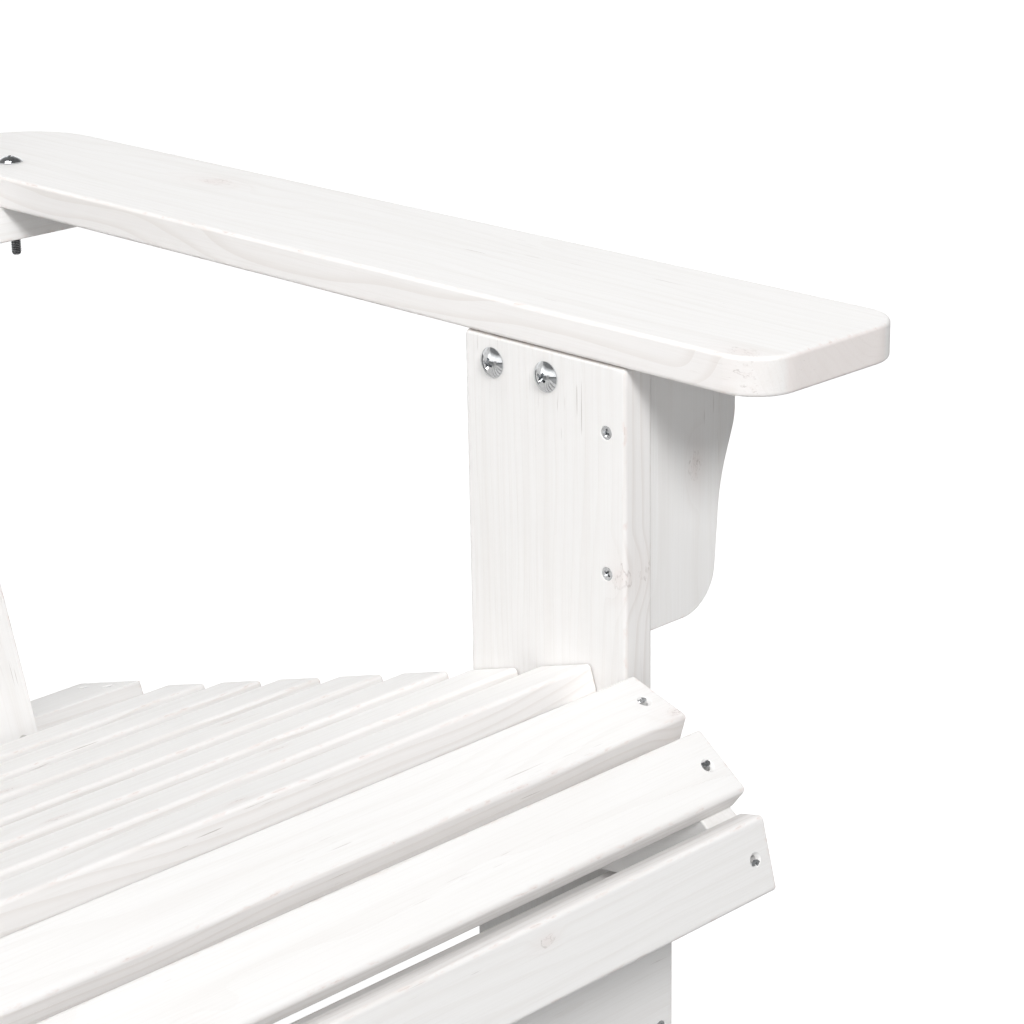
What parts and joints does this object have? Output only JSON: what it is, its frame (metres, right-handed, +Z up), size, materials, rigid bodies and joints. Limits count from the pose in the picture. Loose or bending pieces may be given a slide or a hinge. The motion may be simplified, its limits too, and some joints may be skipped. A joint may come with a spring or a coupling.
{
  "type": "adirondack chair",
  "caption": "Low slatted garden armchair in white painted wood with a sloping seat, broad flat armrests on corbels, a rolled seat nose and a reclined fan back.",
  "frame": {"origin": "on the ground, midway between the chair's sides and midway along its overall depth", "axes": "+Z up, the chair faces -Y, +X is the sitter's left"},
  "size_m": [0.702, 0.8829, 0.9339],
  "materials": {
    "painted_fir": "thin matt white paint over planed solid fir, grain and knots showing",
    "chromed_bolt": "bright plated domed machine bolt",
    "zinc_nut": "zinc plated hexagon nut",
    "zinc_screw": "zinc plated countersunk wood screw",
    "brass_insert": "plain turned threaded insert",
    "bright_brad": "bright drawn steel brad"
  },
  "bodies": {
    "root": {"arm_bolt_nuts": "zinc_nut", "arm_bolts": "chromed_bolt", "arm_bracket_left": "painted_fir", "arm_bracket_right": "painted_fir", "arm_cleat_left": "painted_fir", "arm_cleat_right": "painted_fir", "armrest_left": "painted_fir", "armrest_right": "painted_fir", "back_lower_rail": "painted_fir", "back_lower_rail_screws": "zinc_screw", "back_screws_lower": "zinc_screw", "back_screws_middle": "zinc_screw", "back_screws_upper": "zinc_screw", "back_slat_1": "painted_fir", "back_slat_2": "painted_fir", "back_slat_3": "painted_fir", "back_slat_4": "painted_fir", "back_slat_5": "painted_fir", "back_upper_rail": "painted_fir", "bracket_screws": "zinc_screw", "cleat_screws": "zinc_screw", "front_leg_left": "painted_fir", "front_leg_right": "painted_fir", "front_rail": "painted_fir", "front_rail_screws": "zinc_screw", "nose_slat_lower": "painted_fir", "nose_slat_middle": "painted_fir", "nose_slat_screws": "zinc_screw", "nose_slat_upper": "painted_fir", "rear_arm_bolts": "chromed_bolt", "rear_arm_inserts": "brass_insert", "rear_arm_rail": "painted_fir", "seat_bolt_nuts": "zinc_nut", "seat_bolts": "chromed_bolt", "seat_slat_1": "painted_fir", "seat_slat_2": "painted_fir", "seat_slat_3": "painted_fir", "seat_slat_4": "painted_fir", "seat_slat_5": "painted_fir", "seat_slat_6": "painted_fir", "seat_slat_7": "painted_fir", "seat_slat_brads": "bright_brad", "side_rail_left": "painted_fir", "side_rail_right": "painted_fir"}
  },
  "joints": []
}
